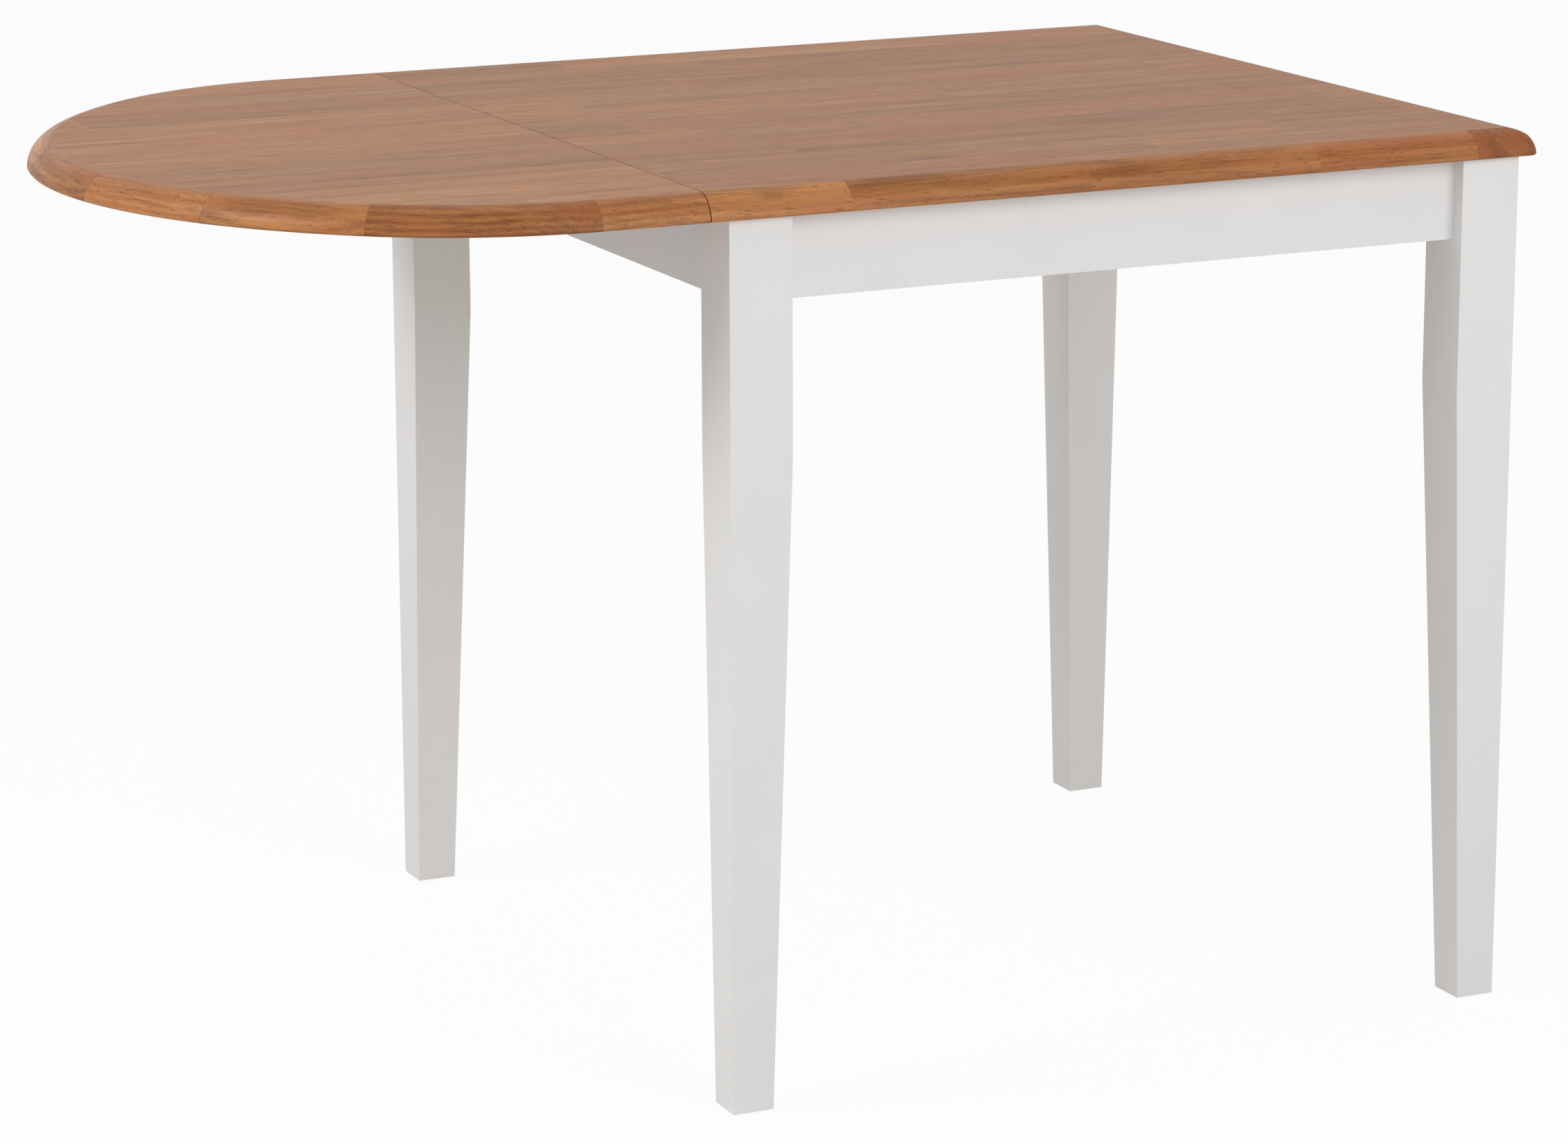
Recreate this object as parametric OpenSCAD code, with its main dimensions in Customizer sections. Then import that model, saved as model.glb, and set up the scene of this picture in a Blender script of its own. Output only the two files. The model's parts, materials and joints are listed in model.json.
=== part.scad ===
// Drop-leaf table: a fixed top on four tapered legs and four aprons, with one half-round
// leaf hinged to its end and held level by two folding props.
// Millimetres, +Z up. The origin is on the floor, under the middle of the table's box with
// the leaf raised. +X runs from the leaf's tip to the fixed end, and -Y is the front.

/* [Top] */
// Height of the top surface above the floor
table_height = 750; // [600:5:900]
// Length of the fixed top, from the seam to its end
top_length = 750; // [620:5:1100]
// Width of the table
top_width = 750; // [640:5:1000]
// Thickness of the top and of the leaf
top_thickness = 22; // [20:1:32]
// Thickness of the face veneer
veneer_thickness = 0.6; // [0.4:0.1:1.5]
// Width of the solid lipping around the boards
lipping_width = 60; // [40:1:80]
// Width of the solid strip on each side of the seam
seam_strip_width = 45; // [40:1:60]
// Plan radius of the fixed top's corners
corner_radius = 8; // [5:1:30]
// Radius of the rounded upper edge
edge_radius = 23.3; // [22:0.1:30]
// Width of the rounded upper edge, seen from above
edge_width = 20.4; // [14:0.1:21]
// Radius of the rounded lower edge
lower_radius = 3; // [1:0.1:5]

/* [Leaf] */
// Reach of the leaf, from the seam to its tip
leaf_reach = 410; // [390:5:480]
// Straight part of the leaf's sides, next to the seam
leaf_straight = 90; // [60:5:120]
// Radius of the leaf's two outer corners in plan
leaf_side_radius = 270; // [240:5:290]
// Gap between the leaf and the fixed top
seam_gap = 0.8; // [0.5:0.1:2]
// Pieces of lipping around the leaf's tip, between those of its two sides
tip_pieces = 5; // [3:1:7]
// Glue line between neighbouring pieces of the leaf's lipping
glue_line = 0.1; // [0.05:0.05:0.3]

/* [Legs] */
// Side of a leg at the apron
leg_size = 53.5; // [45:0.5:70]
// Side of a leg at the foot
foot_size = 35; // [30:0.5:45]
// Height above the floor at which the taper begins
taper_height = 535; // [400:5:560]
// Distance from the seam to the outer face of the legs by the leaf
leg_inset_seam = 18; // [12:1:40]
// Distance from the fixed end to the outer face of the legs there
leg_inset_end = 16; // [8:1:40]
// Distance from the front or rear edge to the outer face of the legs
leg_inset_side = 8; // [4:1:30]
// Diameter of a foot glide
glide_diameter = 22; // [16:1:28]
// Thickness of a foot glide
glide_thickness = 2; // [1.5:0.5:4]
// Diameter of a glide's nail
glide_nail = 2; // [1.5:0.1:3]
// Length of a glide's nail
glide_nail_length = 14; // [8:1:20]

/* [Aprons] */
// Height of the aprons
apron_height = 68; // [60:1:90]
// Thickness of the aprons
apron_thickness = 20; // [18:1:24]
// Step from a leg's outer face back to the front or rear apron
apron_step_side = 14; // [8:1:18]
// Step from a leg's outer face back to the end aprons
apron_step_end = 12; // [8:1:18]
// Diameter of the dowels
dowel_diameter = 8; // [6:1:10]
// Length of the dowels
dowel_length = 30; // [20:2:36]
// Distance from an apron's edges to its dowels
dowel_margin = 17; // [12:1:20]

/* [Corner blocks] */
// Height of the corner blocks
block_height = 38; // [30:1:46]
// Distance along an apron from the leg to the end of a block
block_reach = 54; // [46:1:70]
// Width of a block's blunt end
block_end = 8; // [5:1:12]
// Gap between a block and its leg
block_gap = 0.5; // [0.3:0.1:2]
// Diameter of the corner bolts
bolt_diameter = 8; // [6:1:10]
// Length of a corner bolt inside the leg
bolt_in_leg = 30; // [20:1:36]
// Thickness of a washer
washer_thickness = 1.6; // [1:0.1:2.5]
// Diameter of a washer
washer_diameter = 18; // [16:1:22]
// Width of a nut across its flats
nut_flats = 13; // [10:1:17]
// Thickness of a nut
nut_thickness = 6.5; // [5:0.5:8]

/* [Hinges] */
// Distance from each side of the table to the middle of the outer hinge there
hinge_edge_gap = 125; // [115:5:160]
// Length of a hinge along the seam
hinge_length = 70; // [50:5:90]
// Width of one hinge plate
hinge_plate_width = 26; // [22:1:28]
// Thickness of a hinge plate
hinge_plate_thickness = 2; // [1.5:0.1:2.5]
// Outer radius of the hinge knuckles
knuckle_radius = 3.7; // [3.2:0.1:4.2]
// Radius of a hinge pin
hinge_pin_radius = 1.8; // [1.5:0.1:2.2]
// Gap between neighbouring knuckles
knuckle_gap = 0.3; // [0.2:0.1:0.6]
// Gap between the knuckles and the boards above them
knuckle_clearance = 0.3; // [0.2:0.1:0.6]

/* [Props] */
// Distance from the middle of the table to each prop
prop_offset = 100; // [80:5:140]
// Distance from the seam to a prop's pivot
prop_pivot_reach = 150; // [120:5:160]
// Drop from the underside of the leaf to a prop's pivot
prop_pivot_drop = 12; // [11:0.5:16]
// Drop from the underside of the leaf to the middle of a prop's shoe
prop_shoe_drop = 36; // [30:1:48]
// Width of a prop's bar
prop_width = 16; // [12:1:18]
// Thickness of a prop's bar
prop_thickness = 4; // [3:0.5:5]
// Radius of a prop's pivot pin
prop_pin_radius = 3; // [2:0.1:4]
// Gap between a prop's rubber shoe and the plate that it bears on
shoe_gap = 0.3; // [0.2:0.1:1]
// Length of a prop's rubber shoe
shoe_length = 20; // [14:1:26]
// Wall of a prop's rubber shoe
shoe_wall = 3; // [2:0.5:5]

/* [Fastenings] */
// Radial clearance of pins, bolts, screws and dowels in their holes
running_fit = 0.05; // [0.02:0.01:0.1]
// Thickness of the steel angles and plates
plate_thickness = 2; // [1.5:0.1:3]
// Width of a steel angle under the top
angle_width = 20; // [16:1:30]
// Length of each arm of a steel angle
angle_arm = 25; // [20:1:32]
// Diameter of the wood screws
screw_diameter = 3.5; // [3:0.1:4]
// Length of the wood screws in plates and angles
screw_length = 16; // [12:1:17]
// Length of the wood screws in the corner blocks
block_screw_length = 26; // [22:1:28]
// Depth of wood under the head of a corner block's screw
block_screw_grip = 12; // [10:1:14]

/* [Hidden] */

$fn = 96;
OVER = 1;
WOOD = "#A8784F";
VENEER = "#AD846A";
CORE = "#C9A57C";
WHITE = "#DCDCDA";
RAW_WOOD = "#CDA97E";
ZINC = "#B9BCBF";
STEEL = "#8C9094";
RUBBER = "#2B2B2B";

// Numbers of sides for broad curves
EDGE_SIDES = 128;
PLAN_SIDES = 200;

// Levels
under_top = table_height - top_thickness;
apron_base = under_top - apron_height;
block_level = under_top - apron_height / 2;

// Plan
half_width = top_width / 2;
seam_x = (leaf_reach - top_length) / 2;
end_x = seam_x + top_length;
leg_mid_x = (seam_x + leg_inset_seam + end_x - leg_inset_end) / 2;
leg_half_x = (top_length - leg_inset_seam - leg_inset_end) / 2;
leg_half_y = half_width - leg_inset_side;

// Rounded edge: the round's centre lies inside the flat's border and below the top
edge_centre_depth = sqrt(pow(edge_radius, 2) - pow(edge_radius - edge_width, 2));

// Straight part of the leaf's sides, long enough to keep the tip flatter than a half circle
half_circle_margin = 10;
side_straight = max(leaf_straight, leaf_reach - half_width + half_circle_margin);

// Leaf outline: two corner arcs and a tip arc that meet tangent
leaf_arc_depth = leaf_reach - side_straight;
side_centre_y = half_width - leaf_side_radius;
leaf_tip_radius = (pow(leaf_arc_depth, 2) + pow(side_centre_y, 2) - pow(leaf_side_radius, 2))
    / (2 * (leaf_arc_depth - leaf_side_radius));
tip_centre_x = leaf_reach - leaf_tip_radius;
tip_half_angle = atan2(side_centre_y, side_straight - tip_centre_x);

// Aprons and corner blocks, measured from a leg's outer corner
side_apron_mid = apron_step_side + apron_thickness / 2;
end_apron_mid = apron_step_end + apron_thickness / 2;
side_apron_inner = apron_step_side + apron_thickness;
end_apron_inner = apron_step_end + apron_thickness;
block_sum = leg_size + block_reach + min(side_apron_inner, end_apron_inner) + block_end;
block_screw_margin = 21;
block_screw_place = leg_size + block_reach - block_screw_margin;
bolt_clearance = 0.5;
bolt_tail = 3;

// Distance from a leg's inner corner to the slanted face of its block, along the bolt
block_face = (block_sum - 2 * leg_size) / sqrt(2);

// Hinge axis, just under the boards; the middle one of three hinges is at the table's middle
hinge_drop = knuckle_radius + knuckle_clearance;
hinge_level = under_top - hinge_drop;
hinge_spacing = half_width - hinge_edge_gap;
knuckles = 5;
knuckle_length = hinge_length / knuckles;
knuckle_relief = 1;

// Props at rest: from the pivot on the leaf to the plate on the apron
apron_gap = leg_inset_seam + apron_step_end;
bearing_reach = -apron_gap + plate_thickness + shoe_gap;
prop_run = prop_pivot_reach - bearing_reach;
prop_fall = prop_shoe_drop - prop_pivot_drop;
prop_angle = atan2(prop_fall, prop_run);
prop_length = norm([prop_run, prop_fall]);
ear_thickness = 2;
ear_gap = 0.3;
ear_rim = 1;
bracket_length = 44;
bracket_width = 34;
bracket_end_margin = 6;
bracket_side_margin = 5;
pin_head_gap = 0.2;
pin_head_thickness = 1.5;
pin_head_rim = 1.5;
bearing_plate_width = 46;
bearing_plate_height = 23;
bearing_screw_spacing = 34;
bar_in_shoe = 12;

// Screws
screw_radius = screw_diameter / 2;
head_radius = screw_diameter;
head_height = screw_radius;
screw_tip_radius = 0.3;
recess_length = 4.2;
recess_width = 0.9;
recess_depth = 1.2;
hole_extra = 1;
counterbore_radius = head_radius + 1;
hinge_screw_margin = 9.9;
hinge_screw_end = 11;
hinge_screw_reach = seam_gap + hinge_plate_width - hinge_screw_margin;
hinge_screw_spacing = hinge_length / 2 - hinge_screw_end;
angle_screw_reach = 15;
angles_per_side = 2;

function corner_sign(i) = i == 0 ? -1 : 1;

// ---------- Shared shapes ----------

// Countersunk wood screw with its head's top face at z = 0, driven towards -Z
module screw(length) {
    difference() {
        union() {
            translate([0, 0, -head_height]) cylinder(h = head_height, r1 = screw_radius, r2 = head_radius);
            translate([0, 0, -length + screw_radius]) cylinder(h = length - screw_radius, r = screw_radius);
            translate([0, 0, -length]) cylinder(h = screw_radius, r1 = screw_tip_radius, r2 = screw_radius);
        }
        for (turn = [0, 90]) rotate([0, 0, turn])
            translate([-recess_length / 2, -recess_width / 2, -recess_depth])
                cube([recess_length, recess_width, recess_depth + OVER]);
    }
}

// What a screw takes out of the pieces that it holds
module screw_hole(length) {
    translate([0, 0, -head_height]) cylinder(h = head_height, r1 = screw_radius + running_fit,
        r2 = head_radius + running_fit);
    translate([0, 0, -OVER / 100]) cylinder(h = OVER, r = head_radius + running_fit);
    translate([0, 0, -length - hole_extra])
        cylinder(h = length + hole_extra, r = screw_radius + running_fit);
}

// Section of a board from "start" out to "reach", with its two outer edges rounded.
// The board's top is at y = 0.
module edge_section(start, reach) {
    flat = reach - edge_radius - start;
    square_below = top_thickness - edge_centre_depth;
    difference() {
        intersection() {
            translate([start, -top_thickness]) square([reach - start, top_thickness]);
            union() {
                translate([reach - edge_radius, -edge_centre_depth]) circle(edge_radius, $fn = EDGE_SIDES);
                if (flat > 0) translate([start, -top_thickness]) square([flat, top_thickness]);
                if (square_below > 0)
                    translate([start, -top_thickness]) square([reach - start, square_below]);
            }
        }
        difference() {
            translate([reach - lower_radius, -top_thickness - OVER])
                square([lower_radius + OVER, lower_radius + OVER]);
            translate([reach - lower_radius, -top_thickness + lower_radius]) circle(lower_radius);
        }
    }
}

// Section of one lipping: a rounded edge with the veneer's seat cut out of it
module lipping_section(start, reach) {
    difference() {
        edge_section(start, reach);
        translate([start - OVER, -veneer_thickness])
            square([reach - edge_width - start + OVER, veneer_thickness + OVER]);
    }
}

// Puts its children, drawn for a corner with +X and +Y pointing inwards, at a leg's outer
// corner: end 0 is by the leaf and 1 at the fixed end, side 0 is the front and 1 the rear
module at_corner(end, side) {
    translate([leg_mid_x + corner_sign(end) * leg_half_x, corner_sign(side) * leg_half_y, 0])
        mirror([end, 0, 0]) mirror([0, side, 0]) children();
}

module at_each_corner() {
    for (end = [0, 1], side = [0, 1]) at_corner(end, side) children();
}

// Puts its children on the leaf's side of the seam, with +X towards the tip and z = 0 at the
// underside of the boards
module on_leaf_side() {
    translate([seam_x, 0, under_top]) mirror([1, 0, 0]) children();
}

// ---------- Fixed top ----------

module lipping_beam(length) {
    rotate([90, 0, 90]) linear_extrude(length) lipping_section(half_width - lipping_width, half_width);
}

module top_lipping_rear() {
    color(WOOD) difference() {
        translate([seam_x, 0, table_height]) lipping_beam(top_length - lipping_width);
        top_fixing_holes();
    }
}

module top_lipping_front() {
    color(WOOD) difference() {
        mirror([0, 1, 0]) translate([seam_x, 0, table_height]) lipping_beam(top_length - lipping_width);
        top_fixing_holes();
    }
}

module end_lipping_blank() {
    corner_y = half_width - corner_radius;
    translate([0, 0, table_height]) intersection() {
        translate([end_x, 0, 0]) rotate([90, 0, 0]) linear_extrude(top_width, center = true)
            lipping_section(-lipping_width, 0);
        translate([end_x - lipping_width, 0, 0]) rotate([90, 0, 90]) linear_extrude(lipping_width)
            union() {
                for (flip = [0, 1]) mirror([flip, 0]) edge_section(0, half_width);
            }
        union() {
            translate([end_x - lipping_width, -corner_y, -top_thickness])
                cube([lipping_width, 2 * corner_y, top_thickness]);
            translate([end_x - lipping_width, -half_width, -top_thickness])
                cube([lipping_width - corner_radius, top_width, top_thickness]);
            for (side = [-1, 1]) translate([end_x - corner_radius, side * corner_y, 0])
                rotate_extrude() edge_section(0, corner_radius);
        }
    }
}

// The end lipping runs the full width, and shows its end grain at the front and the rear
module top_lipping_end() {
    color(WOOD) difference() {
        end_lipping_blank();
        top_fixing_holes();
    }
}

module top_seam_strip() {
    color(WOOD) difference() {
        translate([seam_x, -half_width + lipping_width, under_top])
            cube([seam_strip_width, top_width - 2 * lipping_width, top_thickness - veneer_thickness]);
        top_hinge_holes();
    }
}

module top_core() {
    color(CORE) difference() {
        translate([seam_x + seam_strip_width, -half_width + lipping_width, under_top])
            cube([top_length - seam_strip_width - lipping_width, top_width - 2 * lipping_width,
                top_thickness - veneer_thickness]);
        top_fixing_holes();
    }
}

module top_veneer() {
    color(VENEER) translate([seam_x, -half_width + edge_width, table_height - veneer_thickness])
        cube([top_length - edge_width, top_width - 2 * edge_width, veneer_thickness]);
}

// ---------- Leaf ----------

// Outline of the leaf, drawn "inset" in from its edge, with +X towards the tip
module leaf_plan(inset, start) {
    wedge = 2 * leaf_reach;
    intersection() {
        translate([start, -half_width + inset]) square([leaf_reach - inset - start, top_width - 2 * inset]);
        union() {
            translate([0, -half_width + inset]) square([side_straight, top_width - 2 * inset]);
            for (side = [-1, 1]) translate([side_straight, side * side_centre_y])
                circle(leaf_side_radius - inset, $fn = PLAN_SIDES);
            intersection() {
                translate([tip_centre_x, 0]) circle(leaf_tip_radius - inset, $fn = PLAN_SIDES);
                translate([tip_centre_x, 0]) polygon([[0, 0],
                    [wedge * cos(tip_half_angle), -wedge * sin(tip_half_angle)],
                    [wedge * cos(tip_half_angle), wedge * sin(tip_half_angle)]]);
            }
        }
    }
}

module leaf_core() {
    color(CORE) difference() {
        on_leaf_side() linear_extrude(top_thickness - veneer_thickness)
            leaf_plan(lipping_width, seam_gap + seam_strip_width);
        leaf_fixing_holes();
    }
}

module leaf_veneer() {
    color(VENEER) on_leaf_side() translate([0, 0, top_thickness - veneer_thickness])
        linear_extrude(veneer_thickness) leaf_plan(edge_width, seam_gap);
}

// One curved piece of lipping between two angles
module lipping_arc(radius, from_angle, to_angle) {
    rotate([0, 0, from_angle]) rotate_extrude(angle = to_angle - from_angle, $fn = PLAN_SIDES)
        lipping_section(radius - lipping_width, radius);
}

module leaf_lipping() {
    tip_step = 2 * tip_half_angle / tip_pieces;
    glue_angle = glue_line / leaf_tip_radius * 180 / PI;
    color(WOOD) on_leaf_side() translate([0, 0, top_thickness]) {
        for (flip = [0, 1]) mirror([0, flip, 0]) {
            translate([seam_gap, 0, 0]) lipping_beam(side_straight - seam_gap - glue_line);
            translate([side_straight, side_centre_y, 0])
                lipping_arc(leaf_side_radius, tip_half_angle, 90);
        }
        for (i = [0 : tip_pieces - 1]) translate([tip_centre_x, 0, 0])
            lipping_arc(leaf_tip_radius, -tip_half_angle + i * tip_step + glue_angle,
                -tip_half_angle + (i + 1) * tip_step - glue_angle);
    }
}

module leaf_seam_strip() {
    color(WOOD) difference() {
        on_leaf_side() translate([seam_gap, -half_width + lipping_width, 0])
            cube([seam_strip_width, top_width - 2 * lipping_width, top_thickness - veneer_thickness]);
        leaf_hinge_holes();
    }
}

// ---------- Legs ----------

module leg_blank() {
    side_view = [[0, glide_thickness], [foot_size, glide_thickness], [leg_size, taper_height],
        [leg_size, under_top], [0, under_top]];
    intersection() {
        translate([0, leg_size, 0]) rotate([90, 0, 0]) linear_extrude(leg_size) polygon(side_view);
        rotate([90, 0, 90]) linear_extrude(leg_size) polygon(side_view);
    }
}

module leg(end, side) {
    color(WHITE) at_corner(end, side) difference() {
        leg_blank();
        corner_dowels(dowel_diameter / 2 + running_fit);
        corner_bolt_line()
            cylinder(h = 2 * bolt_in_leg, r = bolt_diameter / 2 + running_fit, center = true);
        translate([foot_size / 2, foot_size / 2, 0])
            cylinder(h = glide_nail_length + hole_extra, r = glide_nail / 2 + running_fit);
    }
}

module foot_glides() {
    color(RUBBER) at_each_corner() translate([foot_size / 2, foot_size / 2, 0]) {
        cylinder(h = glide_thickness, r = glide_diameter / 2);
        cylinder(h = glide_nail_length, r = glide_nail / 2);
    }
}

// ---------- Aprons and their corners ----------

module corner_dowels(radius) {
    for (level = [apron_base + dowel_margin, under_top - dowel_margin]) {
        translate([leg_size, side_apron_mid, level]) rotate([0, 90, 0])
            cylinder(h = dowel_length, r = radius, center = true);
        translate([end_apron_mid, leg_size, level]) rotate([90, 0, 0])
            cylinder(h = dowel_length, r = radius, center = true);
    }
}

module apron_dowels() {
    color(RAW_WOOD) at_each_corner() corner_dowels(dowel_diameter / 2);
}

// Everything that is bored or screwed into the aprons
module apron_holes() {
    at_each_corner() {
        corner_dowels(dowel_diameter / 2 + running_fit);
        corner_block_screws() screw_hole(block_screw_length);
    }
    angle_screws_into_aprons() screw_hole(screw_length);
}

module side_apron(side) {
    length = 2 * (leg_half_x - leg_size);
    y = leg_half_y - apron_step_side - apron_thickness / 2;
    color(WHITE) difference() {
        translate([leg_mid_x - length / 2, corner_sign(side) * y - apron_thickness / 2, apron_base])
            cube([length, apron_thickness, apron_height]);
        apron_holes();
    }
}

module end_apron(end) {
    length = 2 * (leg_half_y - leg_size);
    x = leg_half_x - apron_step_end - apron_thickness / 2;
    color(WHITE) difference() {
        translate([leg_mid_x + corner_sign(end) * x - apron_thickness / 2, -length / 2, apron_base])
            cube([apron_thickness, length, apron_height]);
        apron_holes();
        if (end == 0) prop_screws_into_apron() screw_hole(screw_length);
    }
}

// The bolt's line runs through the leg's inner corner, at 45 degrees in plan; +Z points inwards
module corner_bolt_line() {
    translate([leg_size, leg_size, block_level]) rotate([0, 90, 45]) children();
}

module corner_block_screws() {
    translate([block_screw_place, side_apron_inner + block_screw_grip, block_level])
        rotate([-90, 0, 0]) children();
    translate([end_apron_inner + block_screw_grip, block_screw_place, block_level])
        rotate([0, 90, 0]) children();
}

module corner_block(end, side) {
    near = leg_size + block_gap;
    end_far = block_sum - end_apron_inner - block_end;
    side_far = block_sum - side_apron_inner - block_end;
    plan = [[end_apron_inner, near], [end_apron_inner, end_far], [end_apron_inner + block_end, end_far],
        [side_far, side_apron_inner + block_end], [side_far, side_apron_inner],
        [near, side_apron_inner], [near, near]];
    color(RAW_WOOD) at_corner(end, side) difference() {
        translate([0, 0, block_level - block_height / 2]) linear_extrude(block_height) polygon(plan);
        corner_bolt_line()
            cylinder(h = 2 * block_sum, r = bolt_diameter / 2 + bolt_clearance, center = true);
        corner_block_screws() {
            screw_hole(block_screw_length);
            cylinder(h = block_sum, r = counterbore_radius);
        }
    }
}

module corner_bolts() {
    outer = block_face + washer_thickness + nut_thickness + bolt_tail;
    color(ZINC) at_each_corner() corner_bolt_line()
        translate([0, 0, -bolt_in_leg]) cylinder(h = bolt_in_leg + outer, r = bolt_diameter / 2);
}

module corner_washers() {
    color(ZINC) at_each_corner() corner_bolt_line() translate([0, 0, block_face]) difference() {
        cylinder(h = washer_thickness, r = washer_diameter / 2);
        translate([0, 0, -OVER])
            cylinder(h = washer_thickness + 2 * OVER, r = bolt_diameter / 2 + running_fit);
    }
}

module corner_nuts() {
    color(ZINC) at_each_corner() corner_bolt_line()
        translate([0, 0, block_face + washer_thickness]) difference() {
            cylinder(h = nut_thickness, r = nut_flats / sqrt(3), $fn = 6);
            translate([0, 0, -OVER])
                cylinder(h = nut_thickness + 2 * OVER, r = bolt_diameter / 2 + running_fit);
        }
}

module block_screws() {
    color(ZINC) at_each_corner() corner_block_screws() screw(block_screw_length);
}

// ---------- Steel angles that hold the top down ----------

// Puts its children at each angle: +X along the apron, +Y away from it, z = 0 at the underside
module at_each_angle() {
    side_y = leg_half_y - apron_step_side - apron_thickness;
    end_dx = leg_half_x - apron_step_end - apron_thickness;
    side_pitch = (leg_half_x - leg_size) * 2 / (angles_per_side + 1);
    end_pitch = (leg_half_y - leg_size) * 2 / (angles_per_side + 1);
    for (i = [-0.5, 0.5]) {
        for (flip = [0, 1]) mirror([0, flip, 0])
            translate([leg_mid_x + i * side_pitch, -side_y, under_top]) children();
        translate([leg_mid_x - end_dx, i * end_pitch, under_top]) rotate([0, 0, -90]) children();
        translate([leg_mid_x + end_dx, i * end_pitch, under_top]) rotate([0, 0, 90]) children();
    }
}

module angle_screws_into_aprons() {
    at_each_angle() translate([0, plate_thickness, -angle_screw_reach]) rotate([-90, 0, 0]) children();
}

module angle_screws_into_top() {
    at_each_angle() translate([0, angle_screw_reach, -plate_thickness]) rotate([180, 0, 0]) children();
}

module top_angles() {
    color(ZINC) difference() {
        at_each_angle() {
            translate([-angle_width / 2, 0, -plate_thickness])
                cube([angle_width, angle_arm, plate_thickness]);
            translate([-angle_width / 2, 0, -angle_arm]) cube([angle_width, plate_thickness, angle_arm]);
        }
        angle_screws_into_aprons() screw_hole(screw_length);
        angle_screws_into_top() screw_hole(screw_length);
    }
}

module angle_screws() {
    color(ZINC) {
        angle_screws_into_aprons() screw(screw_length);
        angle_screws_into_top() screw(screw_length);
    }
}

module top_fixing_holes() {
    angle_screws_into_top() screw_hole(screw_length);
}

// ---------- Hinges ----------

// Puts its children on a hinge axis that runs along Y
module at_hinge(place) {
    translate([seam_x, place * hinge_spacing, hinge_level]) children();
}

module knuckle(index) {
    start = -hinge_length / 2 + index * knuckle_length + knuckle_gap / 2;
    translate([0, start, 0]) rotate([-90, 0, 0])
        cylinder(h = knuckle_length - knuckle_gap, r = knuckle_radius);
}

// One half of a hinge: "side" is 1 under the fixed top and -1 under the leaf
module hinge_half(place, side) {
    own = side > 0 ? [0, 2, 4] : [1, 3];
    others = side > 0 ? [1, 3] : [0, 2, 4];
    plate_top = hinge_drop;
    color(ZINC) at_hinge(place) difference() {
        union() {
            for (index = own) knuckle(index);
            difference() {
                translate([side > 0 ? seam_gap : -seam_gap - hinge_plate_width, -hinge_length / 2,
                    plate_top - hinge_plate_thickness])
                    cube([hinge_plate_width, hinge_length, hinge_plate_thickness]);
                for (index = others) {
                    start = -hinge_length / 2 + index * knuckle_length - knuckle_gap / 2;
                    translate([0, start, 0]) rotate([-90, 0, 0])
                        cylinder(h = knuckle_length + knuckle_gap, r = knuckle_radius + knuckle_relief);
                }
            }
        }
        rotate([90, 0, 0])
            cylinder(h = hinge_length + 2 * OVER, r = hinge_pin_radius + running_fit, center = true);
        hinge_screws(side) screw_hole(screw_length);
    }
}

// Screws of one hinge half, seen from its axis
module hinge_screws(side) {
    for (i = [-1, 0, 1])
        translate([side * hinge_screw_reach, i * hinge_screw_spacing, hinge_drop - hinge_plate_thickness])
            rotate([180, 0, 0]) children();
}

module hinge_pin(place) {
    color(STEEL) at_hinge(place) rotate([90, 0, 0])
        cylinder(h = hinge_length, r = hinge_pin_radius, center = true);
}

module hinge_screw_set(side) {
    for (place = [-1, 0, 1]) at_hinge(place) hinge_screws(side) children();
}

module top_hinge_holes() {
    hinge_screw_set(1) screw_hole(screw_length);
}

module leaf_hinge_holes() {
    hinge_screw_set(-1) screw_hole(screw_length);
}

module hinge_screws_top() {
    color(ZINC) hinge_screw_set(1) screw(screw_length);
}

module hinge_screws_leaf() {
    color(ZINC) hinge_screw_set(-1) screw(screw_length);
}

// ---------- Props ----------

// Puts its children at a prop's pivot, with +X away from the tip and along the bar
module at_prop_pivot(side) {
    translate([seam_x - prop_pivot_reach, side * prop_offset, under_top - prop_pivot_drop]) children();
}

module prop_line(side) {
    at_prop_pivot(side) rotate([0, prop_angle, 0]) children();
}

module prop_bar(side) {
    bar_length = prop_length - shoe_length + bar_in_shoe;
    color(STEEL) prop_line(side) difference() {
        union() {
            rotate([90, 0, 0]) cylinder(h = prop_thickness, r = prop_width / 2, center = true);
            translate([0, -prop_thickness / 2, -prop_width / 2])
                cube([bar_length, prop_thickness, prop_width]);
        }
        rotate([90, 0, 0])
            cylinder(h = prop_thickness + 2 * OVER, r = prop_pin_radius + running_fit, center = true);
    }
}

// Rubber shoe on the end of the bar, cut off parallel to the plate that it bears on
module prop_shoe(side) {
    thick = prop_thickness + 2 * shoe_wall;
    color(RUBBER) intersection() {
        prop_line(side) translate([prop_length - shoe_length, 0, 0]) difference() {
            translate([0, -thick / 2, -prop_width / 2 - shoe_wall / 2])
                cube([2 * shoe_length, thick, prop_width + shoe_wall]);
            translate([-OVER, -prop_thickness / 2 - running_fit, -prop_width / 2 - running_fit])
                cube([bar_in_shoe + OVER + running_fit, prop_thickness + 2 * running_fit,
                    prop_width + 2 * running_fit]);
        }
        translate([seam_x - leaf_reach, -half_width, 0])
            cube([leaf_reach - bearing_reach, top_width, table_height]);
    }
}

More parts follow.
